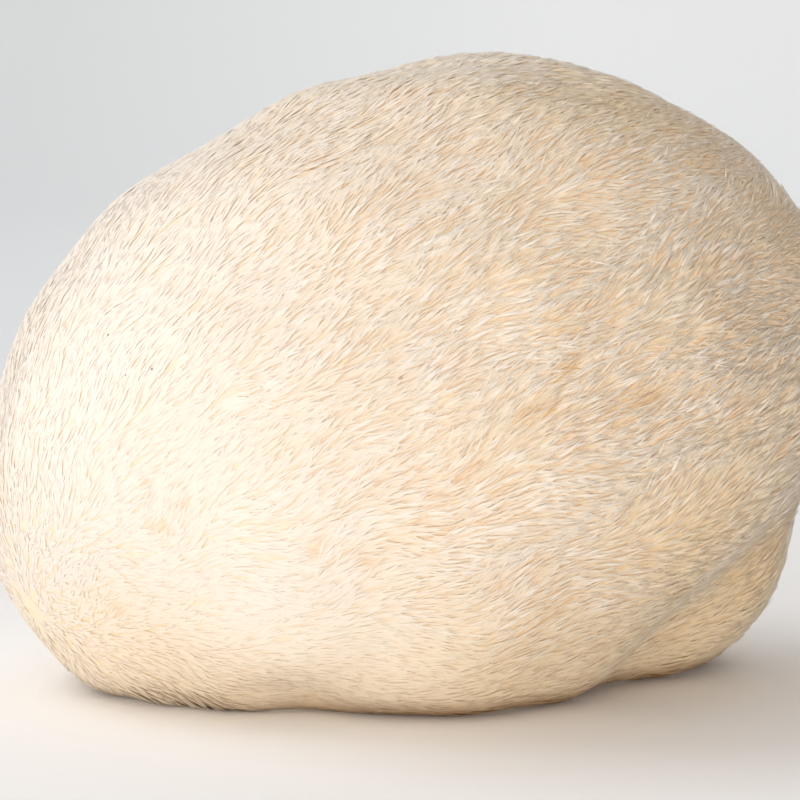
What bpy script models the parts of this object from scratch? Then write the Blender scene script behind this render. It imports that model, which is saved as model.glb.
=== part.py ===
"""A picked lion's mane mushroom: one fleshy body that lies on its flat cut base.

The body is several rounded lobes grown together. Short spines cover it, combed away from one
pole low on its left side. Here they are gathered into low overlapping locks, and the outer
surface of the solid is where the spines end. Metres, +Z up, origin under the middle of the body.
"""

import math
from collections import namedtuple

import bmesh
import bpy
import numpy as np

NODE_NAME = "mushroom"

# Lobes of the body: middle, half sizes and how far each leans up at its right side, in degrees
Lobe = namedtuple("Lobe", "middle half_size lean")
LOBES = {
    "main body": Lobe((0.000, 0.000, 0.0410), (0.0640, 0.0485, 0.0475), 17.0),
    "crown": Lobe((0.010, 0.002, 0.0510), (0.0420, 0.0420, 0.0405), 0.0),
    "left foot": Lobe((-0.034, -0.002, 0.0260), (0.0280, 0.0290, 0.0300), 0.0),
    "front foot": Lobe((0.007, -0.010, 0.0200), (0.0250, 0.0270, 0.0250), 0.0),
    "right rear foot": Lobe((0.033, 0.010, 0.0235), (0.0235, 0.0260, 0.0265), 0.0),
    "left rear foot": Lobe((-0.020, 0.022, 0.0240), (0.0320, 0.0290, 0.0280), 0.0),
    "cut stem": Lobe((0.000, 0.004, 0.0140), (0.0340, 0.0220, 0.0200), 0.0),
}
# Hollows between the feet, in the same terms
HOLLOWS = {
    "right furrow": Lobe((0.0410, -0.0150, 0.0125), (0.0240, 0.0075, 0.0038), 41.0),
    "front notch": Lobe((-0.0170, -0.0340, 0.0000), (0.0060, 0.0140, 0.0060), 0.0),
    "back notch": Lobe((0.0060, 0.0440, 0.0000), (0.0090, 0.0140, 0.0110), 0.0),
}
SEAM_ROUNDING = 0.0012

# The point inside that the whole surface can be seen from, and the direction from it to the
# pole that the spines are combed away from
HEART = np.array((0.000, 0.000, 0.0420))
POLE = (-0.85, -0.28, -0.44)
MEAN_RADIUS = 0.0550
FARTHEST_REACH = 0.1100

# Locks of spines
LOCK_LENGTH = 0.0130
LOCK_WIDTH = 0.0070
LOCK_HEIGHT = 0.0014
LOCK_TIP_DROP = 0.0030
LOCK_JITTER = 0.3
LOCK_UNEVENNESS = 0.5

# Broad unevenness of the whole body
SWELL_HEIGHT = 0.0007
SWELL_SPACING = 0.0220
SWELL_WAVES = 7

# Surface points, in staggered rows about the pole
POINT_SPACING = 0.0030
POINT_JITTER = 0.22
FEWEST_IN_ROW = 5
HALVINGS = 30
SEED = 7

# Flat cut at the ground: points this near it are laid on it, and close points of its rim merge
CUT_SNAP = 0.0008
RIM_MERGE = 0.0005
ON_GROUND = 0.000001

FLESH_COLOUR = (0.84, 0.72, 0.55, 1.0)
FLESH_ROUGHNESS = 0.75


def remove_old_objects():
    for old in list(bpy.data.objects):
        bpy.data.objects.remove(old, do_unlink=True)


def unit(vectors):
    vectors = np.asarray(vectors, dtype=float)
    return vectors / np.linalg.norm(vectors, axis=-1, keepdims=True)


def rows_about_pole(spacing, jitter, random):
    """Staggered rows round the pole: each point's angle from the pole and its angle round it."""
    step = spacing / MEAN_RADIUS
    row_count = round(math.pi / step)
    polar = [0.0, math.pi]
    around = [0.0, 0.0]
    for row in range(1, row_count):
        row_angle = math.pi * row / row_count
        count = max(FEWEST_IN_ROW, round(math.tau * math.sin(row_angle) / step))
        stagger = 0.5 * (row % 2)
        shifts = random.uniform(-jitter, jitter, (count, 2))
        for place, (shift_out, shift_round) in enumerate(shifts):
            polar.append(row_angle + shift_out * step)
            around.append(math.tau * (place + stagger + shift_round) / count)
    return np.array(polar), np.array(around)


def directions(polar, around):
    """Unit vectors from the heart for angles from the pole and round it."""
    pole = unit(POLE)
    side = unit(np.cross((0.0, 0.0, 1.0), pole))
    across = np.cross(pole, side)
    ring = np.outer(np.cos(around), side) + np.outer(np.sin(around), across)
    return np.sin(polar)[:, None] * ring + np.outer(np.cos(polar), pole)


def lobe_distance(points, lobe):
    """Roughly how far points are outside a lobe."""
    lean = math.radians(lobe.lean)
    offset = points - np.array(lobe.middle)
    along = offset[:, 0] * math.cos(lean) + offset[:, 2] * math.sin(lean)
    upward = offset[:, 2] * math.cos(lean) - offset[:, 0] * math.sin(lean)
    local = np.stack((along, offset[:, 1], upward), axis=1)
    half_size = np.array(lobe.half_size)
    reach = np.linalg.norm(local / half_size, axis=1)
    steepness = np.linalg.norm(local / half_size**2, axis=1)
    return reach * (reach - 1.0) / steepness


def body_distance(points):
    """Roughly how far points are outside the joined lobes, less the hollows. Seams are rounded."""
    distances = np.stack([lobe_distance(points, lobe) for lobe in LOBES.values()])
    nearest = distances.min(axis=0)
    joined = nearest - SEAM_ROUNDING * np.log(np.exp((nearest - distances) / SEAM_ROUNDING).sum(axis=0))
    for hollow in HOLLOWS.values():
        joined = np.maximum(joined, -lobe_distance(points, hollow))
    return joined


def body_reach(rays):
    """How far from the heart each ray leaves the body, by halving."""
    inside = np.zeros(len(rays))
    outside = np.full(len(rays), FARTHEST_REACH)
    for _ in range(HALVINGS):
        middle = 0.5 * (inside + outside)
        is_out = body_distance(HEART + rays * middle[:, None]) > 0.0
        outside = np.where(is_out, middle, outside)
        inside = np.where(is_out, inside, middle)
    return inside


def lock_relief(polar, around, random):
    """Height of the locks: each rises along the combing to a blunt tip, then drops away."""
    tip_polar, tip_around = rows_about_pole(LOCK_WIDTH, LOCK_JITTER, random)
    unevenness = random.uniform(-LOCK_UNEVENNESS, LOCK_UNEVENNESS, len(tip_polar))
    relief = np.zeros(len(polar))
    for tip, turn, height in zip(tip_polar, tip_around, LOCK_HEIGHT * (1.0 + unevenness)):
        past_tip = (polar - tip) * MEAN_RADIUS
        turn_apart = (around - turn + math.pi) % math.tau - math.pi
        aside = turn_apart * np.sin(polar) * MEAN_RADIUS / (0.5 * LOCK_WIDTH)
        rise = np.clip(1.0 + past_tip / LOCK_LENGTH, 0.0, 1.0)
        fall = np.clip(1.0 - past_tip / LOCK_TIP_DROP, 0.0, 1.0)
        ridge = height * rise * fall * np.clip(1.0 - aside**2, 0.0, 1.0)
        relief = np.maximum(relief, ridge)
    return relief


def swells(points, random):
    """Broad low swells, as a few slow waves in seeded directions."""
    height = np.zeros(len(points))
    for _ in range(SWELL_WAVES):
        heading = unit(random.normal(size=3))
        phase = random.uniform(0.0, math.tau)
        height += np.sin(points @ heading * math.tau / SWELL_SPACING + phase)
    return SWELL_HEIGHT * height / math.sqrt(SWELL_WAVES)


def surface_points():
    """The directions of the surface points from the heart, and the points themselves."""
    random = np.random.default_rng(SEED)
    polar, around = rows_about_pole(POINT_SPACING, POINT_JITTER, random)
    rays = directions(polar, around)
    reach = body_reach(rays)
    reach += lock_relief(polar, around, random) - LOCK_HEIGHT
    reach += swells(HEART + rays * reach[:, None], random)
    return rays, HEART + rays * reach[:, None]


def closed_surface(rays, points):
    """Join the points by the triangles that their directions make on a round ball."""
    mesh = bmesh.new()
    verts = [mesh.verts.new(ray) for ray in rays]
    bmesh.ops.convex_hull(mesh, input=verts)
    bmesh.ops.triangulate(mesh, faces=mesh.faces[:])
    for vert, point in zip(verts, points):
        vert.co = point
    return mesh


def cut_base(mesh):
    """Cut the underside off flat at the ground and close it with one flat face."""
    for vert in mesh.verts:
        if abs(vert.co.z) < CUT_SNAP:
            vert.co.z = 0.0
    everything = mesh.verts[:] + mesh.edges[:] + mesh.faces[:]
    ground = {"plane_co": (0.0, 0.0, 0.0), "plane_no": (0.0, 0.0, 1.0)}
    bmesh.ops.bisect_plane(mesh, geom=everything, clear_inner=True, **ground)
    laid_flat = [face for face in mesh.faces if all(vert.co.z < ON_GROUND for vert in face.verts)]
    bmesh.ops.delete(mesh, geom=laid_flat, context="FACES")
    rim_verts = [vert for vert in mesh.verts if vert.is_boundary]
    bmesh.ops.remove_doubles(mesh, verts=rim_verts, dist=RIM_MERGE)
    rim = [edge for edge in mesh.edges if edge.is_boundary]
    bmesh.ops.edgeloop_fill(mesh, edges=rim)
    bmesh.ops.recalc_face_normals(mesh, faces=mesh.faces[:])


def centre_over_origin(mesh):
    places = np.array([vert.co[:] for vert in mesh.verts])
    middle = 0.5 * (places.min(axis=0) + places.max(axis=0))
    bmesh.ops.translate(mesh, verts=mesh.verts[:], vec=(-middle[0], -middle[1], 0.0))


def flesh_material():
    material = bpy.data.materials.new("mushroom_flesh")
    material.use_nodes = True
    shader = material.node_tree.nodes["Principled BSDF"]
    shader.inputs["Base Color"].default_value = FLESH_COLOUR
    shader.inputs["Roughness"].default_value = FLESH_ROUGHNESS
    shader.inputs["Metallic"].default_value = 0.0
    return material


def main():
    remove_old_objects()
    rays, points = surface_points()
    mesh = closed_surface(rays, points)
    cut_base(mesh)
    centre_over_origin(mesh)
    data = bpy.data.meshes.new(NODE_NAME)
    mesh.to_mesh(data)
    mesh.free()
    data.materials.append(flesh_material())
    body = bpy.data.objects.new(NODE_NAME, data)
    bpy.context.scene.collection.objects.link(body)


main()
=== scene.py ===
"""The look of a lion's mane mushroom: thousands of short soft spines combed over a lobed body.

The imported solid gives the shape. A smoothed copy of its surface carries a core of plain flesh and
the spines, which all lean away from one pole low on the left side. Metres, +Z up. The camera
looks along +Y from the front, slightly downwards.
"""

import math
from collections import namedtuple

import bmesh
import bpy
import numpy as np
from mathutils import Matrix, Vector
from mathutils.bvhtree import BVHTree
from mathutils.kdtree import KDTree


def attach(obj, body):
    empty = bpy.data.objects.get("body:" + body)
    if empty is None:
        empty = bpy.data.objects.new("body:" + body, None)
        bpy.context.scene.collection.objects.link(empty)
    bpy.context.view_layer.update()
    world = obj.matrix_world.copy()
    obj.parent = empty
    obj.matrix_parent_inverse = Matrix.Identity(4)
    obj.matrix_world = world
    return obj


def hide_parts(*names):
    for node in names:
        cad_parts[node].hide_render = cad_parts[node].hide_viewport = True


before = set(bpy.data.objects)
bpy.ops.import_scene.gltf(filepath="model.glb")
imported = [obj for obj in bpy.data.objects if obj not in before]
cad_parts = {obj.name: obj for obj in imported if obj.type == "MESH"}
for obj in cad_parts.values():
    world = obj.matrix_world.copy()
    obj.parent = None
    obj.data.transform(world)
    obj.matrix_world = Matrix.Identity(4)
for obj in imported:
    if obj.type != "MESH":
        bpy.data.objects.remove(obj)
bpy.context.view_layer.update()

NODE_NAME = "mushroom"
BODY_NAME = "root"
SEED = 11

# Camera: where it looks, from how far, and how big a metre at that distance is in the picture
AIM = Vector((-0.0021, -0.0005, 0.0413))
CAMERA_DISTANCE = 0.60
CAMERA_ELEVATION = math.radians(8.0)
PICTURE_SIDE = 800
PIXELS_PER_METRE = 6850.0
SENSOR_WIDTH = 36.0
NEAREST_SEEN = 0.01
MILLIMETRE = 0.001

# Directions are taken from the heart of the body, and the spines are combed away from the pole
HEART = np.array((0.0, 0.0, 0.042))
POLE = (-0.85, -0.28, -0.44)

# Smoothed surface, kept as a map of distances from the heart
SAME_POINT = 0.000001
RIM_HEIGHT = 0.0006
SMOOTHING_ROUNDS = 20
SMOOTHING_IN = 0.5
SMOOTHING_OUT = -0.52
MAP_ROWS = 180
MAP_COLUMNS = 360
MAP_BLUR_ROUNDS = 14
# The furrow at the right front is softer than the rest
FURROW_PLACE = (0.040, -0.026, 0.013)
FURROW_RADIUS = 0.019
FURROW_BLUR_ROUNDS = 90
SLOPE_STEP = 0.02
NEARLY_UPRIGHT = 0.9

# Core of flesh under the spines
CORE_DIVISIONS = 6
CORE_DEPTH = 0.00012

# Roots are chosen out of more places than are needed. Each place is moved by a share of their
# spacing, and slanting ground counts for more, up to a limit
PLACES_PER_ROOT = 3
PLACE_JITTER = 0.45
LEAST_FACING_HEART = 0.15

# Spines
SPINE_COUNT = 84000
PIECE_COUNT = 5
LOWEST_ROOT = 0.0002
FLOOR_GAP = 0.0001
SPINE_LENGTH = 0.0050
LENGTH_SPREAD = 0.30
SHORT_NEAR_POLE = 0.40
POLE_RADIUS = math.radians(24.0)
SPINE_WIDTH = 0.00044
WIDTH_SPREAD = 0.25
SPINE_THICKNESS = 0.00011
ROOT_HEIGHT = -0.00020
TIP_HEIGHT = 0.00018
TIP_HEIGHT_SPREAD = 0.00007
MOST_RANK = 2.0
# A few spines are brighter and stand higher than the rest. Their brightness is a painted highlight,
# carried by their paler tone
BRIGHT_SHARE = 0.07
BRIGHT_LIFT = 0.00014
BRIGHT_LIFT_RANGE = (0.3, 1.5)
# A fringe of spines stands out and turns down at the foot of the left lobe
FRINGE_LIFT = 0.0013
FRINGE_TURN = math.radians(14.0)
# The spines lie flat and alike near the pole, and are lifted and uneven on the far side. They
# are flatter near the floor and over the top than half-way up.
CALM_UNTIL = math.radians(30.0)
UNEVEN_FROM = math.radians(125.0)
CALM_SHARE = 0.42
UNEVEN_SHARE = 2.8
LONGER_FAR = 0.35
THINNER_FAR = 0.10
HALF_WAY_UP = 0.036
LEVEL_BAND = 0.014
LEVEL_FADE = 0.024
LEVEL_DROP = 0.35
# A spine has rings of three points, a crest and two lower edges, and then its tip
RING_SIDES = 3
RING_PLACES = (0.0, 0.60, 1.0)
RING_WIDTHS = (0.80, 1.0)
CREST_SHARE = 0.6
EDGE_SHARE = 0.4
LIFT_CURVE = 0.8
# How far a spine is shaded as the body under it, and how far its normals keep to its own faces
BODY_NORMAL_SHARE_CALM = 0.88
BODY_NORMAL_SHARE_UNEVEN = 0.45
LEAST_FACING = 0.35
FACING_PUSH = 1.5
# Colour of a spine goes from its root, at 0, to its tip, at 1. Its lower edges count as deep. The
# darker, warmer colour deep down is painted shade in the gaps between spines, warm as light through the
# flesh
EDGE_DEPTH = 0.62
CALM_DEPTH_SHARE = 0.45
MOST_DEPTH_SHARE = 1.2
# A spine's tone is drawn from its tuft, its height among its neighbours, chance and brightness. Its tuft
# and chance give the flesh's own varied tone; its height and brightness paint light and shade, warmer on
# the lower spines and paler on the higher ones
TONE_OF_TUFT = 0.45
TONE_OF_RANK = 0.7
TONE_OF_CHANCE = 0.3
TONE_OF_BRIGHT = 1.6
MOST_TONE_SHARE = 1.4

# How the combing strays from straight lines
SWIRL_ANGLE = math.radians(9.0)
SWIRL_SPACING = 0.020
WAVER_ANGLE = math.radians(6.0)
WAVER_SPACING = 0.0065
STRAY_ANGLE = math.radians(6.5)
LOOSE_STRAY = 0.3
POLE_STRAY_ANGLE = math.radians(24.0)
POLE_STRAY_RADIUS = math.radians(13.0)
BEND_ANGLE = math.radians(14.0)
BEND_MIDDLE = 0.6
WAVE_COUNT = 9
WAVE_STRETCH = (0.7, 1.4)

# Tufts: neighbouring spines lean together
TUFT_COUNT = 12000
TUFT_PINCH = 0.15
TUFT_ANGLE = math.radians(5.0)
TUFT_LIFT = 0.00003

# Marked places, seen from the camera: millimetres right of and above the aim, radius, strength. Some
# mark stains, some painted light and shade, and some where the fringe stands out
Spot = namedtuple("Spot", "right up radius strength")
AMBER_STAINS = (
    Spot(21.5, 3.2, 1.5, 1.0),
    Spot(15.3, -4.8, 1.1, 0.8),
    Spot(19.4, -3.7, 1.4, 0.8),
    Spot(32.0, -2.1, 1.6, 0.7),
    Spot(21.3, -7.0, 1.6, 0.5),
    Spot(8.8, -11.8, 0.9, 0.9),
    Spot(6.4, -13.4, 1.1, 0.7),
    Spot(1.2, -15.0, 0.8, 0.7),
    Spot(5.1, -9.8, 0.9, 0.6),
    Spot(3.6, -19.9, 0.9, 0.6),
    Spot(17.5, -25.0, 0.9, 0.7),
    Spot(11.9, -26.8, 1.3, 0.5),
    Spot(-7.7, -25.0, 1.4, 0.5),
    Spot(-14.8, -22.9, 1.2, 0.5),
    Spot(18.0, -34.0, 1.2, 0.7),
    Spot(5.7, 1.3, 1.1, 0.6),
    Spot(-42.6, -7.2, 0.9, 0.5),
    Spot(-38.6, -13.2, 0.9, 0.7),
    Spot(-38.4, -16.5, 0.8, 0.6),
    Spot(-33.4, -17.5, 1.0, 0.6),
    Spot(-38.1, -19.6, 0.9, 0.6),
    Spot(-35.9, -20.2, 0.9, 0.6),
    Spot(-46.1, -23.4, 0.9, 0.5),
    Spot(-41.2, -23.1, 0.8, 0.5),
    Spot(-42.6, -31.1, 1.2, 0.8),
    Spot(0.0, 3.1, 0.8, 0.9),
)
AMBER_DEPTH = 0.00025
# Golden places: partly the flesh's own yellowing, partly painted warm light from the floor on the low
# parts; the small one under the front notch is painted warm shade
GOLDEN_STAINS_AND_PAINTED_LIGHT = (
    Spot(-40.0, -36.0, 12.0, 0.95),
    Spot(-28.0, -41.0, 9.0, 0.7),
    Spot(47.0, -29.0, 11.0, 0.9),
    Spot(36.0, -37.0, 11.0, 0.8),
    Spot(40.0, -25.0, 12.0, 0.6),
    Spot(27.0, -38.0, 10.0, 0.5),
    Spot(-10.0, -42.0, 9.0, 0.35),
    Spot(12.0, -44.0, 12.0, 0.45),
    Spot(-15.0, -43.5, 5.0, 0.80),
    Spot(29.0, 43.0, 10.0, 0.55),
)
# Tan places: the two high on the right are stains; the others are painted shade in the furrow between
# the body and the right lobe, and in the hollow at the lobe's foot
TAN_STAINS_AND_PAINTED_SHADE = (
    Spot(46.0, 34.0, 7.0, 0.25),
    Spot(54.0, 24.0, 9.0, 0.35),
    Spot(35.5, -31.5, 2.4, 0.9),
    Spot(39.0, -30.8, 2.0, 0.6),
    Spot(50.0, -24.0, 9.0, 0.6),
    Spot(45.0, -38.5, 2.2, 1.0),
)
FRINGE_STAINS = (
    Spot(-37.0, -43.0, 4.0, 1.0),
    Spot(-31.0, -43.8, 4.0, 1.0),
)
DARK_SPECKS = (
    Spot(-42.6, 9.5, 0.22, 0.8),
    Spot(-36.2, 4.5, 0.22, 0.8),
    Spot(-40.0, 3.6, 0.22, 0.7),
    Spot(31.1, -32.0, 0.30, 0.8),
    Spot(31.7, -33.7, 0.32, 0.8),
    Spot(0.1, 3.2, 0.36, 0.35),
)
SPECK_MIDDLE = 0.7

# Spine colours. A tint comes in between two values of what drives it, and stops at its share
Tint = namedtuple("Tint", "start full share colour")
# The tan and brown at the root end of this ramp are painted shade between the spines
ROOT_TO_TIP = (
    (0.00, (0.70, 0.45, 0.25, 1.0)),
    (0.40, (0.89, 0.70, 0.49, 1.0)),
    (0.75, (0.96, 0.86, 0.73, 1.0)),
    (1.00, (0.97, 0.91, 0.82, 1.0)),
)
# Pale and warm tints by tone: partly the flesh's own varied tone, partly a painted highlight on higher
# spines and painted shade on lower ones
PALE_BY_TONE = Tint(0.3, 2.6, 0.75, (0.98, 0.92, 0.84, 1.0))
WARM_BY_TONE = Tint(-0.2, -2.0, 0.40, (0.88, 0.69, 0.47, 1.0))
MOTTLE_SCALE = 210.0
MOTTLE_DETAIL = 2.0
MOTTLE_EDGE = (0.46, 0.64)
MOTTLE_BY_RIGHT = Tint(0.010, 0.050, 0.20, (0.80, 0.60, 0.41, 1.0))
BROAD_SCALE = 75.0
BROAD_DETAIL = 3.0
BROAD_BY_NOISE = Tint(0.48, 0.70, 0.45, (0.93, 0.79, 0.58, 1.0))
# Greyer towards the left, the side the lights face most: painted shade that holds down its brightness
GREYER_LEFT_AS_PAINTED_SHADE = Tint(0.020, -0.040, 0.60, (0.89, 0.82, 0.75, 1.0))
GOLDEN_BY_STAIN_AND_PAINTED_LIGHT = Tint(0.0, 1.0, 0.80, (0.88, 0.67, 0.40, 1.0))
TAN_BY_STAIN_AND_PAINTED_SHADE = Tint(0.0, 1.0, 0.60, (0.70, 0.52, 0.34, 1.0))
AMBER_BY_STAIN = Tint(0.0, 1.0, 0.85, (0.78, 0.46, 0.17, 1.0))
# Painted warm light from the floor, on the spines low on the body
PAINTED_BOUNCE_BY_HEIGHT = Tint(0.020, 0.004, 0.40, (0.97, 0.80, 0.55, 1.0))
SHADE_BY_HEIGHT = Tint(0.0038, 0.0005, 0.90, (0.40, 0.23, 0.10, 1.0))
# The shade along the floor weakens from the middle to this place on the left
SHADE_LEFT = -0.035
SHADE_LEFT_SHARE = 0.35
SPECK_COLOUR = (0.22, 0.16, 0.11, 1.0)
SPINE_ROUGHNESS = 0.70

# Core colours, warmer than the spine tips: partly painted shade, as the core is seen only in the gaps
# between spines
CORE_GRAIN_SCALE = 900.0
CORE_GRAIN_DETAIL = 3.0
CORE_COLOURS = (
    (0.3, (0.95, 0.78, 0.56, 1.0)),
    (0.7, (0.97, 0.85, 0.67, 1.0)),
)
# The core takes the golden stains and painted warm light, and the tan stains and painted shade, of the
# spines over it
CORE_GOLDEN = Tint(0.0, 1.0, 0.50, (0.80, 0.58, 0.30, 1.0))
CORE_TAN = Tint(0.0, 1.0, 0.50, (0.52, 0.36, 0.22, 1.0))
CORE_BUMP_STRENGTH = 0.5
CORE_BUMP_DEPTH = 0.0004
CORE_ROUGHNESS = 0.8
FLESH_SPECULAR = 0.2

# Backdrop of one sheet of paper, nearly white near the mushroom. Behind the mushroom it is painted
# darker to the left, as shade where less light falls, and cooler, to offset the warm light
FLOOR_HALF_WIDTH = 1.6
FLOOR_FRONT = -1.2
SWEEP_START = 0.75
SWEEP_RADIUS = 0.55
WALL_HEIGHT = 1.9
SWEEP_STEPS = 24
PAPER_NEAR = (0.95, 0.94, 0.94, 1.0)
PAPER_FAR_RIGHT = (0.92, 0.94, 0.96, 1.0)
PAPER_FAR_LEFT = (0.77, 0.79, 0.81, 1.0)
RIGHT_TO_LEFT = (0.06, -0.14)
NEAR_TO_FAR = (0.0, 0.35)
PAPER_ROUGHNESS = 0.9
PAPER_SPECULAR = 0.1

# Studio lights
Light = namedtuple("Light", "name place aim width height power colour")
LIGHTS = (
    Light("key_light", (-0.90, -0.75, 0.34), AIM, 1.1, 0.6, 2.3, (0.94, 0.97, 1.0)),
    Light("front_light", (0.06, -1.10, 0.15), AIM, 1.0, 0.25, 4.7, (1.0, 0.955, 0.91)),
    Light("top_light", (-0.75, 0.20, 0.85), AIM, 0.7, 0.7, 4.0, (0.93, 0.96, 1.0)),
    Light("back_light", (0.05, 0.75, 1.00), (0.05, 0.74, 0.0), 1.4, 0.6, 1.5, (1.0, 1.0, 1.0)),
)
SKY_COLOUR = (1.0, 0.96, 0.91)
SKY_STRENGTH_LEFT = 0.80
SKY_STRENGTH_RIGHT = 0.31


def unit(vectors):
    vectors = np.asarray(vectors, dtype=float)
    return vectors / np.linalg.norm(vectors, axis=-1, keepdims=True)


POLE_AXIS = unit(POLE)
SIDE_AXIS = unit(np.cross((0.0, 0.0, 1.0), POLE_AXIS))
ACROSS_AXIS = np.cross(POLE_AXIS, SIDE_AXIS)


def directions(polar, around):
    """Unit vectors from the heart for angles from the pole and round it."""
    ring = np.cos(around)[..., None] * SIDE_AXIS + np.sin(around)[..., None] * ACROSS_AXIS
    return np.sin(polar)[..., None] * ring + np.cos(polar)[..., None] * POLE_AXIS


def angles(rays):
    """The angle of each unit vector from the pole and round it."""
    polar = np.arccos(np.clip(rays @ POLE_AXIS, -1.0, 1.0))
    around = np.arctan2(rays @ ACROSS_AXIS, rays @ SIDE_AXIS) % math.tau
    return polar, around


def blurred(reach_map, rounds):
    """The map with each place evened out with its four neighbours, a number of times."""
    for _ in range(rounds):
        beside = np.roll(reach_map, 1, axis=1) + np.roll(reach_map, -1, axis=1)
        framed = np.pad(reach_map, ((1, 1), (0, 0)), mode="edge")
        reach_map = (reach_map + beside + framed[:-2] + framed[2:]) / 5.0
    return reach_map


class Surface:
    """The smoothed outside of the body, as a distance from the heart in every direction."""

    def __init__(self, body):
        mesh = bmesh.new()
        mesh.from_mesh(body.data)
        bmesh.ops.remove_doubles(mesh, verts=mesh.verts[:], dist=SAME_POINT)
        bmesh.ops.triangulate(mesh, faces=mesh.faces[:])
        raised = [vert for vert in mesh.verts if vert.co.z > RIM_HEIGHT]
        axes = {"use_axis_x": True, "use_axis_y": True, "use_axis_z": True}
        for _ in range(SMOOTHING_ROUNDS):
            bmesh.ops.smooth_vert(mesh, verts=raised, factor=SMOOTHING_IN, **axes)
            bmesh.ops.smooth_vert(mesh, verts=raised, factor=SMOOTHING_OUT, **axes)
        self.tree = BVHTree.FromBMesh(mesh)
        mesh.free()
        polar = np.linspace(0.0, math.pi, MAP_ROWS + 1)
        around = np.linspace(0.0, math.tau, MAP_COLUMNS, endpoint=False)
        rays = directions(*np.meshgrid(polar, around, indexing="ij"))
        reach = [self.tree.ray_cast(HEART, ray)[3] for ray in rays.reshape(-1, 3)]
        self.reach_map = np.array(reach).reshape(MAP_ROWS + 1, MAP_COLUMNS)
        self.reach_map = blurred(self.reach_map, MAP_BLUR_ROUNDS)
        places = HEART + rays * self.reach_map[..., None]
        apart = np.linalg.norm(places - FURROW_PLACE, axis=2) / FURROW_RADIUS
        share = np.exp(-(apart**2))
        self.reach_map += share * (blurred(self.reach_map, FURROW_BLUR_ROUNDS) - self.reach_map)

    def points(self, rays):
        """Where the surface lies along each ray, read between the four nearest places of the map."""
        polar, around = angles(rays)
        row_place = polar / math.pi * MAP_ROWS
        column_place = around / math.tau * MAP_COLUMNS
        row = np.minimum(row_place.astype(int), MAP_ROWS - 1)
        column = column_place.astype(int) % MAP_COLUMNS
        next_column = (column + 1) % MAP_COLUMNS
        down = row_place - row
        right = column_place - np.floor(column_place)
        near = self.reach_map[row, column] * (1.0 - right)
        near += self.reach_map[row, next_column] * right
        far = self.reach_map[row + 1, column] * (1.0 - right)
        far += self.reach_map[row + 1, next_column] * right
        return HEART + rays * (near * (1.0 - down) + far * down)[:, None]

    def slope(self, rays, aside):
        """The line along the surface from a small step before each ray to one after it."""
        after = self.points(unit(rays + SLOPE_STEP * aside))
        before = self.points(unit(rays - SLOPE_STEP * aside))
        return after - before

    def normals(self, rays):
        """Outward unit normals, square to the slopes in two directions."""
        is_level = np.abs(rays[:, 2:3]) < NEARLY_UPRIGHT
        helper = np.where(is_level, (0.0, 0.0, 1.0), (1.0, 0.0, 0.0))
        first = unit(np.cross(helper, rays))
        second = np.cross(rays, first)
        return unit(np.cross(self.slope(rays, first), self.slope(rays, second)))


def waves(points, spacing, random):
    """Smooth noise of about unit size: a sum of waves in random directions."""
    total = np.zeros(len(points))
    for _ in range(WAVE_COUNT):
        heading = unit(random.normal(size=3))
        phase = random.uniform(0.0, math.tau)
        stretch = random.uniform(*WAVE_STRETCH)
        total += np.sin(points @ heading * (math.tau * stretch / spacing) + phase)
    return total * math.sqrt(2.0 / WAVE_COUNT)


def even_rays(count):
    """Unit vectors spread evenly over a ball, along a spiral."""
    place = np.arange(count) + 0.5
    height = 1.0 - 2.0 * place / count
    turn = place * math.pi * (3.0 - math.sqrt(5.0))
    ring = np.sqrt(1.0 - height**2)
    return np.stack((ring * np.cos(turn), ring * np.sin(turn), height), axis=1)


def spread_roots(surface, count, random):
    """Rays to places that are evenly spread over the body above its flat base."""
    candidates = even_rays(count * PLACES_PER_ROOT)
    spacing = math.sqrt(4.0 * math.pi / len(candidates))
    candidates = unit(candidates + random.normal(0.0, PLACE_JITTER * spacing, candidates.shape))
    points = surface.points(candidates)
    normals = surface.normals(candidates)
    facing = np.clip((normals * candidates).sum(axis=1), LEAST_FACING_HEART, 1.0)
    share = np.linalg.norm(points - HEART, axis=1) ** 2 / facing
    share[points[:, 2] < LOWEST_ROOT] = 0.0
    chosen = random.choice(len(candidates), size=count, replace=False, p=share / share.sum())
    return candidates[np.sort(chosen)]


def combing(rays, normals):
    """Unit vectors along the surface, away from the pole."""
    away = rays * (rays @ POLE_AXIS)[:, None] - POLE_AXIS
    return unit(away - normals * (away * normals).sum(axis=1)[:, None])


def turned(headings, normals, turn):
    """Headings turned to the left about the normals."""
    aside = np.cross(normals, headings)
    return headings * np.cos(turn)[:, None] + aside * np.sin(turn)[:, None]


def seen_places(surface, spots):
    """Where on the body each spot lies, found along the camera's line of sight."""
    eye, right, up, ahead = camera_axes()
    places = []
    for spot in spots:
        aside = right * (spot.right * MILLIMETRE) + up * (spot.up * MILLIMETRE)
        toward = ahead * CAMERA_DISTANCE + aside
        place = surface.tree.ray_cast(eye, toward.normalized())[0]
        if place is None:
            place = surface.tree.find_nearest(eye + toward)[0]
        places.append(place[:])
    return np.array(places)


def spots_at(points, surface, spots):
    """How strongly each point is marked by the spots, 0 to 1."""
    strength = np.zeros(len(points))
    for place, spot in zip(seen_places(surface, spots), spots):
        apart = np.linalg.norm(points - place, axis=1) / (spot.radius * MILLIMETRE)
        strength = np.maximum(strength, spot.strength * np.exp(-(apart**2)))
    return strength


def camera_axes():
    """The camera's place and its right, up and forward directions."""
    ahead = Vector((0.0, math.cos(CAMERA_ELEVATION), -math.sin(CAMERA_ELEVATION)))
    up = Vector((0.0, math.sin(CAMERA_ELEVATION), math.cos(CAMERA_ELEVATION)))
    return AIM - ahead * CAMERA_DISTANCE, Vector((1.0, 0.0, 0.0)), up, ahead


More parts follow.
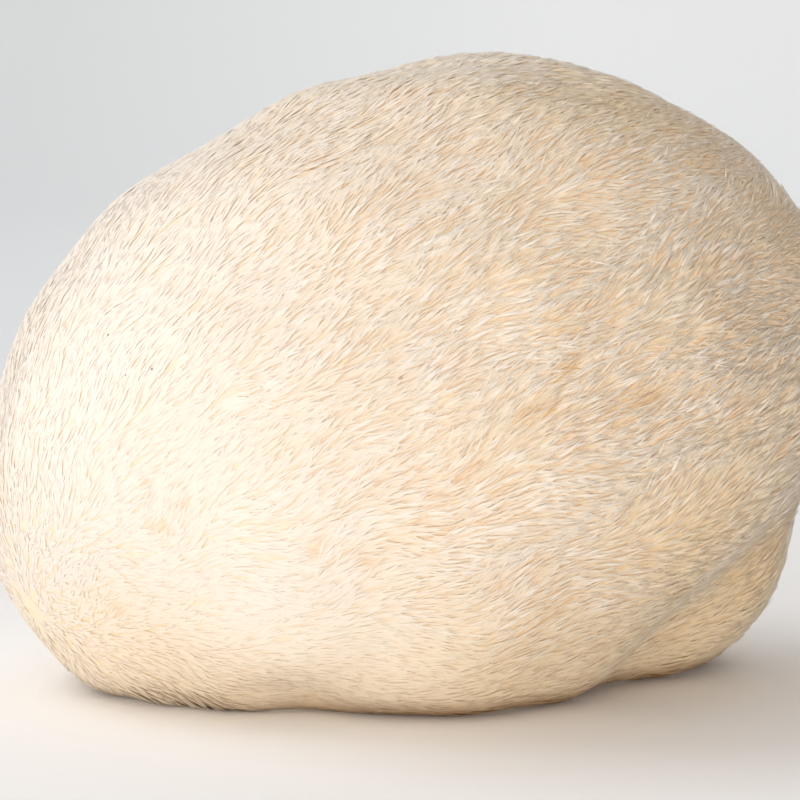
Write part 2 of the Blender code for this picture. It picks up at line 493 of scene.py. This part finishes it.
def tuft_values(roots, surface, random):
    """For each spine: how far it sits beside its tuft's middle, and its tuft's turn, lift and tone."""
    tuft_rays = spread_roots(surface, TUFT_COUNT, random)
    tuft_points = surface.points(tuft_rays)
    finder = KDTree(len(tuft_points))
    for number, point in enumerate(tuft_points):
        finder.insert(point, number)
    finder.balance()
    nearest = np.array([finder.find(point)[1] for point in roots.points])
    aside = np.cross(roots.normals, roots.headings)
    beside = ((roots.points - tuft_points[nearest]) * aside).sum(axis=1)
    turn = random.normal(0.0, TUFT_ANGLE, TUFT_COUNT)[nearest]
    lift = random.normal(0.0, TUFT_LIFT, TUFT_COUNT)[nearest]
    tone = random.normal(0.0, 1.0, TUFT_COUNT)[nearest]
    return beside, turn, lift, tone


def unevenness_at(polar, height):
    """How much the spines are lifted and differ, by their angle from the pole and their height."""
    share = np.clip((polar - CALM_UNTIL) / (UNEVEN_FROM - CALM_UNTIL), 0.0, 1.0)
    from_band = np.clip((np.abs(height - HALF_WAY_UP) - LEVEL_BAND) / LEVEL_FADE, 0.0, 1.0)
    by_angle = CALM_SHARE + (UNEVEN_SHARE - CALM_SHARE) * share**2 * (3.0 - 2.0 * share)
    return np.maximum(by_angle * (1.0 - LEVEL_DROP * from_band), CALM_SHARE)


Roots = namedtuple("Roots", "rays polar points normals headings")
Growth = namedtuple("Growth", "length width tip_height turn bend tone amber unevenness far_share")
Spines = namedtuple("Spines", "points normals body_share along tone amber golden tan")


def place_roots(surface, random):
    """Where every spine grows, in order round the pole, and the combing there."""
    rays = spread_roots(surface, SPINE_COUNT, random)
    rays = rays[np.argsort(angles(rays)[1])]
    normals = surface.normals(rays)
    headings = combing(rays, normals)
    return Roots(rays, angles(rays)[0], surface.points(rays), normals, headings)


def draw_growth(roots, surface, random):
    """The size, lift, turn, bend and tone of every spine."""
    amber = spots_at(roots.points, surface, AMBER_STAINS)
    beside, tuft_turn, tuft_lift, tuft_tone = tuft_values(roots, surface, random)

    shortness = 1.0 - SHORT_NEAR_POLE * np.exp(-((roots.polar / POLE_RADIUS) ** 2))
    length = SPINE_LENGTH * (1.0 + LENGTH_SPREAD * random.uniform(-1.0, 1.0, SPINE_COUNT)) * shortness
    width = SPINE_WIDTH * (1.0 + WIDTH_SPREAD * random.uniform(-1.0, 1.0, SPINE_COUNT))
    bright = random.random(SPINE_COUNT) < BRIGHT_SHARE
    unevenness = unevenness_at(roots.polar, roots.points[:, 2])
    far_share = (unevenness - CALM_SHARE) / (UNEVEN_SHARE - CALM_SHARE)
    length *= 1.0 + LONGER_FAR * far_share
    width *= 1.0 - THINNER_FAR * far_share

    rank = random.normal(size=SPINE_COUNT).clip(-MOST_RANK, MOST_RANK)
    tip_height = unevenness * (TIP_HEIGHT + TIP_HEIGHT_SPREAD * rank + tuft_lift)
    tip_height += BRIGHT_LIFT * bright * unevenness.clip(*BRIGHT_LIFT_RANGE) - AMBER_DEPTH * amber
    fringe = spots_at(roots.points, surface, FRINGE_STAINS)
    tip_height += FRINGE_LIFT * fringe * random.random(SPINE_COUNT)

    turn = SWIRL_ANGLE * waves(roots.points, SWIRL_SPACING, random) - FRINGE_TURN * fringe
    turn += WAVER_ANGLE * waves(roots.points, WAVER_SPACING, random)
    turn += tuft_turn - np.arctan(TUFT_PINCH * beside / length)
    stray = STRAY_ANGLE + POLE_STRAY_ANGLE * np.exp(-((roots.polar / POLE_STRAY_RADIUS) ** 2))
    turn += random.normal(size=SPINE_COUNT) * stray * (1.0 + LOOSE_STRAY * bright)
    bend = random.normal(0.0, BEND_ANGLE, SPINE_COUNT)

    tone = TONE_OF_TUFT * tuft_tone + TONE_OF_RANK * rank
    tone += TONE_OF_CHANCE * random.normal(size=SPINE_COUNT)
    tone += TONE_OF_BRIGHT * bright
    tone *= unevenness.clip(CALM_SHARE, MOST_TONE_SHARE)
    return Growth(length, width, tip_height, turn, bend, tone, amber, unevenness, far_share)


def ring_corners(middle, normals, heading, width, thickness):
    """The crest and the two lower edges of one ring of every spine."""
    half_across = np.cross(normals, heading) * (0.5 * width)[:, None]
    crest = normals * (CREST_SHARE * thickness)[:, None]
    below = normals * (EDGE_SHARE * thickness)[:, None]
    return [middle + crest, middle - half_across - below, middle + half_across - below]


def spine_points(roots, growth, surface):
    """Every spine's points, ring by ring to its tip, and the body's normal under each."""
    points = []
    body_normals = []
    place, rays, normals = roots.points, roots.rays, roots.normals
    heading = turned(roots.headings, normals, growth.turn - BEND_MIDDLE * growth.bend)
    root_height = ROOT_HEIGHT * growth.unevenness
    for ring, along in enumerate(RING_PLACES):
        if ring > 0:
            turn = growth.turn + growth.bend * (along - BEND_MIDDLE)
            heading = turned(combing(rays, normals), normals, turn)
            stride = growth.length * (along - RING_PLACES[ring - 1])
            rays = unit(place + heading * stride[:, None] - HEART)
            place = surface.points(rays)
            normals = surface.normals(rays)
        height = root_height + (growth.tip_height - root_height) * along**LIFT_CURVE
        middle = place + normals * height[:, None]
        corners = [middle]
        if ring < len(RING_WIDTHS):
            width = RING_WIDTHS[ring] * growth.width
            thickness = SPINE_THICKNESS * RING_WIDTHS[ring] * growth.unevenness
            corners = ring_corners(middle, normals, heading, width, thickness)
        points += corners
        body_normals += [normals] * len(corners)
    return np.stack(points, axis=1), np.stack(body_normals, axis=1)


def point_depths():
    """How deep each point of a spine counts for its colour: 1 at the root, 0 at the tip. Deep points
    take the painted shade of the gaps.
    """
    depths = []
    for along in RING_PLACES[:-1]:
        crest_depth = 1.0 - along
        edge_depth = max(crest_depth, EDGE_DEPTH)
        depths += [crest_depth, edge_depth, edge_depth]
    return depths + [0.0]


def grow_spines(surface):
    """Every spine's points and the values that shade and colour it."""
    random = np.random.default_rng(SEED)
    roots = place_roots(surface, random)
    growth = draw_growth(roots, surface, random)
    points, body_normals = spine_points(roots, growth, surface)
    points[:, :, 2] = np.maximum(points[:, :, 2], FLOOR_GAP)
    depth_share = growth.unevenness.clip(CALM_DEPTH_SHARE, MOST_DEPTH_SHARE)
    along = 1.0 - np.outer(depth_share, point_depths())
    less_far = BODY_NORMAL_SHARE_UNEVEN - BODY_NORMAL_SHARE_CALM
    body_share = BODY_NORMAL_SHARE_CALM + less_far * growth.far_share
    golden = spots_at(roots.points, surface, GOLDEN_STAINS_AND_PAINTED_LIGHT)
    tan = spots_at(roots.points, surface, TAN_STAINS_AND_PAINTED_SHADE)
    return Spines(points, body_normals, body_share, along, growth.tone, growth.amber, golden, tan)


def spine_faces():
    """The outward triangles of one spine: its closed root, its sides and its tip."""
    last_ring = RING_SIDES * (len(RING_WIDTHS) - 1)
    faces = [(0, 2, 1)]
    for start in range(0, last_ring, RING_SIDES):
        for side in range(RING_SIDES):
            here = start + side
            beside = start + (side + 1) % RING_SIDES
            faces.append((here, beside, beside + RING_SIDES))
            faces.append((here, beside + RING_SIDES, here + RING_SIDES))
    tip = last_ring + RING_SIDES
    for side in range(RING_SIDES):
        faces.append((last_ring + side, last_ring + (side + 1) % RING_SIDES, tip))
    return np.array(faces)


def mesh_from(name, points, triangles):
    mesh = bpy.data.meshes.new(name)
    mesh.vertices.add(len(points))
    mesh.vertices.foreach_set("co", points.astype(np.float32).ravel())
    mesh.loops.add(3 * len(triangles))
    mesh.loops.foreach_set("vertex_index", triangles.astype(np.int32).ravel())
    mesh.polygons.add(len(triangles))
    mesh.polygons.foreach_set("loop_start", np.arange(0, 3 * len(triangles), 3, dtype=np.int32))
    mesh.update(calc_edges=True)
    mesh.shade_smooth()
    return mesh


def vectors_of(items, name):
    values = np.empty(3 * len(items), dtype=np.float32)
    items.foreach_get(name, values)
    return values.reshape(-1, 3)


def soften_normals(mesh, triangles, body_normals, body_share):
    """Shade the spines partly as the body under them, as soft flesh that light passes through."""
    own = vectors_of(mesh.vertex_normals, "vector")
    blended = unit(own * (1.0 - body_share[:, None]) + body_normals * body_share[:, None])
    corners = blended[triangles.ravel()]
    faces = np.repeat(vectors_of(mesh.polygon_normals, "vector"), 3, axis=0)
    short_of = LEAST_FACING - (corners * faces).sum(axis=1)
    corners += faces * (FACING_PUSH * np.maximum(short_of, 0.0))[:, None]
    mesh.normals_split_custom_set(unit(corners))


def set_values(mesh, name, values):
    attribute = mesh.attributes.new(name, "FLOAT", "POINT")
    attribute.data.foreach_set("value", values.astype(np.float32))


def add_piece(mesh, material):
    mesh.materials.append(material)
    piece = bpy.data.objects.new(mesh.name, mesh)
    bpy.context.scene.collection.objects.link(piece)
    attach(piece, BODY_NAME)
    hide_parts(NODE_NAME)


def add_spine_pieces(spines, material):
    faces = spine_faces()
    point_count = spines.points.shape[1]
    bounds = np.linspace(0, SPINE_COUNT, PIECE_COUNT + 1).astype(int)
    for number, (start, end) in enumerate(zip(bounds[:-1], bounds[1:]), 1):
        count = end - start
        firsts = point_count * np.arange(count)
        triangles = (faces[None] + firsts[:, None, None]).reshape(-1, 3)
        mesh = mesh_from(f"spines_{number}", spines.points[start:end].reshape(-1, 3), triangles)
        body_share = np.repeat(spines.body_share[start:end], point_count)
        soften_normals(mesh, triangles, spines.normals[start:end].reshape(-1, 3), body_share)
        set_values(mesh, "along", spines.along[start:end].ravel())
        for name in ("tone", "amber", "golden", "tan"):
            set_values(mesh, name, np.repeat(getattr(spines, name)[start:end], point_count))
        add_piece(mesh, material)


def add_core(surface, material):
    """A closed body of flesh just under the spines, flat where it was cut."""
    ball = bmesh.new()
    bmesh.ops.create_icosphere(ball, subdivisions=CORE_DIVISIONS, radius=1.0)
    rays = unit(np.array([vert.co[:] for vert in ball.verts]))
    triangles = np.array([[vert.index for vert in face.verts] for face in ball.faces])
    ball.free()
    points = surface.points(rays)
    depth = CORE_DEPTH * unevenness_at(angles(rays)[0], points[:, 2]).clip(0.0, 1.0)
    points -= depth[:, None] * surface.normals(rays)
    points[:, 2] = np.maximum(points[:, 2], 0.0)
    mesh = mesh_from("flesh_core", points, triangles)
    set_values(mesh, "golden", spots_at(points, surface, GOLDEN_STAINS_AND_PAINTED_LIGHT))
    set_values(mesh, "tan", spots_at(points, surface, TAN_STAINS_AND_PAINTED_SHADE))
    add_piece(mesh, material)


class Graph:
    """Short calls for building a material out of nodes."""

    def __init__(self, name):
        self.material = bpy.data.materials.new(name)
        self.material.use_nodes = True
        self.tree = self.material.node_tree
        self.shader = self.tree.nodes["Principled BSDF"]

    def add(self, kind, inputs=(), **settings):
        node = self.tree.nodes.new(kind)
        for name, value in settings.items():
            setattr(node, name, value)
        for name, value in dict(inputs).items():
            self.put(node.inputs[name], value)
        return node

    def put(self, socket, value):
        """Link an output to the socket, or set it to a plain value."""
        if isinstance(value, bpy.types.NodeSocket):
            self.tree.links.new(value, socket)
        else:
            socket.default_value = value

    def attribute(self, name):
        return self.add("ShaderNodeAttribute", attribute_name=name).outputs["Fac"]

    def product(self, first, second):
        node = self.add("ShaderNodeMath", operation="MULTIPLY")
        self.put(node.inputs[0], first)
        self.put(node.inputs[1], second)
        return node.outputs[0]

    def spread(self, value, low, high, to_low=0.0, to_high=1.0):
        """Map low..high of a value to to_low..to_high, held at the ends."""
        inputs = {"Value": value, "From Min": low, "From Max": high, "To Min": to_low, "To Max": to_high}
        return self.add("ShaderNodeMapRange", inputs, clamp=True).outputs["Result"]

    def mix(self, share, first, second):
        node = self.add("ShaderNodeMix", data_type="RGBA", blend_type="MIX", clamp_factor=True)
        self.put(node.inputs[0], share)
        self.put(node.inputs[6], first)
        self.put(node.inputs[7], second)
        return node.outputs[2]

    def tint(self, colour, driver, tint, fade=1.0):
        """Mix a tint into the colour by the driver's value, less where it fades."""
        share = self.spread(driver, tint.start, tint.full, 0.0, tint.share)
        return self.mix(self.product(share, fade), colour, tint.colour)

    def noise(self, place, scale, detail):
        inputs = {"Vector": place, "Scale": scale, "Detail": detail}
        return self.add("ShaderNodeTexNoise", inputs).outputs["Fac"]

    def ramp(self, value, stops):
        node = self.add("ShaderNodeValToRGB", {"Fac": value})
        points = node.color_ramp.elements
        while len(points) < len(stops):
            points.new(0.5)
        for point, (place, colour) in zip(points, stops):
            point.position = place
            point.color = colour
        return node.outputs["Color"]

    def finished(self, colour, roughness, specular):
        """The material, with its colour and how it shines."""
        self.put(self.shader.inputs["Base Color"], colour)
        self.put(self.shader.inputs["Roughness"], roughness)
        self.put(self.shader.inputs["Specular IOR Level"], specular)
        return self.material


def spine_material(surface):
    """Cream spines, tan at the root and paler at the tip, with stains, tints by place and specks. The
    tan roots and lower edges, the greyer left, the tan in the furrow and the brown along the floor are
    painted shade; the warmth low on the body is partly painted light from the floor.
    """
    graph = Graph("spine_cream")
    place = graph.add("ShaderNodeTexCoord").outputs["Object"]
    parts = graph.add("ShaderNodeSeparateXYZ", {"Vector": place}).outputs
    tone = graph.attribute("tone")
    colour = graph.ramp(graph.attribute("along"), ROOT_TO_TIP)
    colour = graph.tint(colour, tone, PALE_BY_TONE)
    colour = graph.tint(colour, tone, WARM_BY_TONE)
    mottle = graph.spread(graph.noise(place, MOTTLE_SCALE, MOTTLE_DETAIL), *MOTTLE_EDGE)
    colour = graph.tint(colour, parts["X"], MOTTLE_BY_RIGHT, mottle)
    broad = graph.noise(place, BROAD_SCALE, BROAD_DETAIL)
    colour = graph.tint(colour, broad, BROAD_BY_NOISE)
    colour = graph.tint(colour, graph.attribute("golden"), GOLDEN_BY_STAIN_AND_PAINTED_LIGHT)
    colour = graph.tint(colour, graph.attribute("tan"), TAN_BY_STAIN_AND_PAINTED_SHADE)
    colour = graph.tint(colour, parts["X"], GREYER_LEFT_AS_PAINTED_SHADE)
    colour = graph.tint(colour, graph.attribute("amber"), AMBER_BY_STAIN)
    colour = graph.tint(colour, parts["Z"], PAINTED_BOUNCE_BY_HEIGHT)
    less_left = graph.spread(parts["X"], SHADE_LEFT, 0.0, SHADE_LEFT_SHARE, 1.0)
    colour = graph.tint(colour, parts["Z"], SHADE_BY_HEIGHT, less_left)
    for centre, speck in zip(seen_places(surface, DARK_SPECKS), DARK_SPECKS):
        apart = graph.add("ShaderNodeVectorMath", operation="DISTANCE")
        graph.put(apart.inputs[0], place)
        graph.put(apart.inputs[1], centre.tolist())
        radius = speck.radius * MILLIMETRE
        speck_tint = Tint(radius, SPECK_MIDDLE * radius, speck.strength, SPECK_COLOUR)
        colour = graph.tint(colour, apart.outputs["Value"], speck_tint)
    return graph.finished(colour, SPINE_ROUGHNESS, FLESH_SPECULAR)


def core_material():
    """Plain cream flesh with a fine grain, darker where the spines over it are stained or carry painted
    light and shade. Its warm colour in the gaps between spines is partly painted shade.
    """
    graph = Graph("core_flesh")
    place = graph.add("ShaderNodeTexCoord").outputs["Object"]
    grain = graph.noise(place, CORE_GRAIN_SCALE, CORE_GRAIN_DETAIL)
    colour = graph.ramp(grain, CORE_COLOURS)
    colour = graph.tint(colour, graph.attribute("golden"), CORE_GOLDEN)
    colour = graph.tint(colour, graph.attribute("tan"), CORE_TAN)
    relief = {"Height": grain, "Strength": CORE_BUMP_STRENGTH, "Distance": CORE_BUMP_DEPTH}
    bump = graph.add("ShaderNodeBump", relief)
    graph.put(graph.shader.inputs["Normal"], bump.outputs["Normal"])
    return graph.finished(colour, CORE_ROUGHNESS, FLESH_SPECULAR)


def stage_material():
    """Off-white paper that turns cooler behind the mushroom, to offset the warm light, and darker there
    to the left, as painted shade.
    """
    graph = Graph("backdrop_paper")
    place = graph.add("ShaderNodeTexCoord").outputs["Object"]
    parts = graph.add("ShaderNodeSeparateXYZ", {"Vector": place}).outputs
    left = graph.spread(parts["X"], *RIGHT_TO_LEFT)
    far = graph.spread(parts["Y"], *NEAR_TO_FAR)
    wall = graph.mix(left, PAPER_FAR_RIGHT, PAPER_FAR_LEFT)
    colour = graph.mix(far, PAPER_NEAR, wall)
    return graph.finished(colour, PAPER_ROUGHNESS, PAPER_SPECULAR)


def add_backdrop():
    """A sheet of paper that lies flat under the mushroom and curves up behind it."""
    outline = [(FLOOR_FRONT, 0.0)]
    for step in range(SWEEP_STEPS + 1):
        turn = 0.5 * math.pi * step / SWEEP_STEPS
        back = SWEEP_START + SWEEP_RADIUS * math.sin(turn)
        outline.append((back, SWEEP_RADIUS * (1.0 - math.cos(turn))))
    outline.append((SWEEP_START + SWEEP_RADIUS, WALL_HEIGHT))
    points = [(side * FLOOR_HALF_WIDTH, y, z) for y, z in outline for side in (-1.0, 1.0)]
    faces = [(2 * row, 2 * row + 1, 2 * row + 3, 2 * row + 2) for row in range(len(outline) - 1)]
    mesh = bpy.data.meshes.new("backdrop")
    mesh.from_pydata(points, [], faces)
    mesh.shade_smooth()
    mesh.materials.append(stage_material())
    backdrop = bpy.data.objects.new("backdrop", mesh)
    bpy.context.scene.collection.objects.link(backdrop)


def add_light(light):
    lamp = bpy.data.lights.new(light.name, "AREA")
    lamp.shape = "RECTANGLE"
    lamp.size = light.width
    lamp.size_y = light.height
    lamp.energy = light.power
    lamp.color = light.colour
    holder = bpy.data.objects.new(light.name, lamp)
    holder.location = light.place
    toward = Vector(light.aim) - Vector(light.place)
    holder.rotation_euler = toward.to_track_quat("-Z", "Y").to_euler()
    bpy.context.scene.collection.objects.link(holder)


def add_sky():
    """Even light from all round, weaker from the right."""
    world = bpy.data.worlds.new("studio_sky")
    world.use_nodes = True
    nodes = world.node_tree.nodes
    links = world.node_tree.links
    place = nodes.new("ShaderNodeTexCoord")
    parts = nodes.new("ShaderNodeSeparateXYZ")
    strength = nodes.new("ShaderNodeMapRange")
    strength.inputs["From Min"].default_value = -1.0
    strength.inputs["From Max"].default_value = 1.0
    strength.inputs["To Min"].default_value = SKY_STRENGTH_LEFT
    strength.inputs["To Max"].default_value = SKY_STRENGTH_RIGHT
    background = nodes["Background"]
    background.inputs["Color"].default_value = (*SKY_COLOUR, 1.0)
    links.new(place.outputs["Generated"], parts.inputs["Vector"])
    links.new(parts.outputs["X"], strength.inputs["Value"])
    links.new(strength.outputs["Result"], background.inputs["Strength"])
    bpy.context.scene.world = world


def add_camera():
    lens = bpy.data.cameras.new("camera")
    lens.sensor_width = SENSOR_WIDTH
    lens.lens = SENSOR_WIDTH * PIXELS_PER_METRE * CAMERA_DISTANCE / PICTURE_SIDE
    lens.clip_start = NEAREST_SEEN
    camera = bpy.data.objects.new("camera", lens)
    camera.location = camera_axes()[0]
    camera.rotation_euler = (0.5 * math.pi - CAMERA_ELEVATION, 0.0, 0.0)
    bpy.context.scene.collection.objects.link(camera)
    bpy.context.scene.camera = camera


def main():
    surface = Surface(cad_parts[NODE_NAME])
    add_core(surface, core_material())
    add_spine_pieces(grow_spines(surface), spine_material(surface))
    add_backdrop()
    for light in LIGHTS:
        add_light(light)
    add_sky()
    add_camera()
    bpy.context.scene.view_settings.view_transform = "Standard"


main()
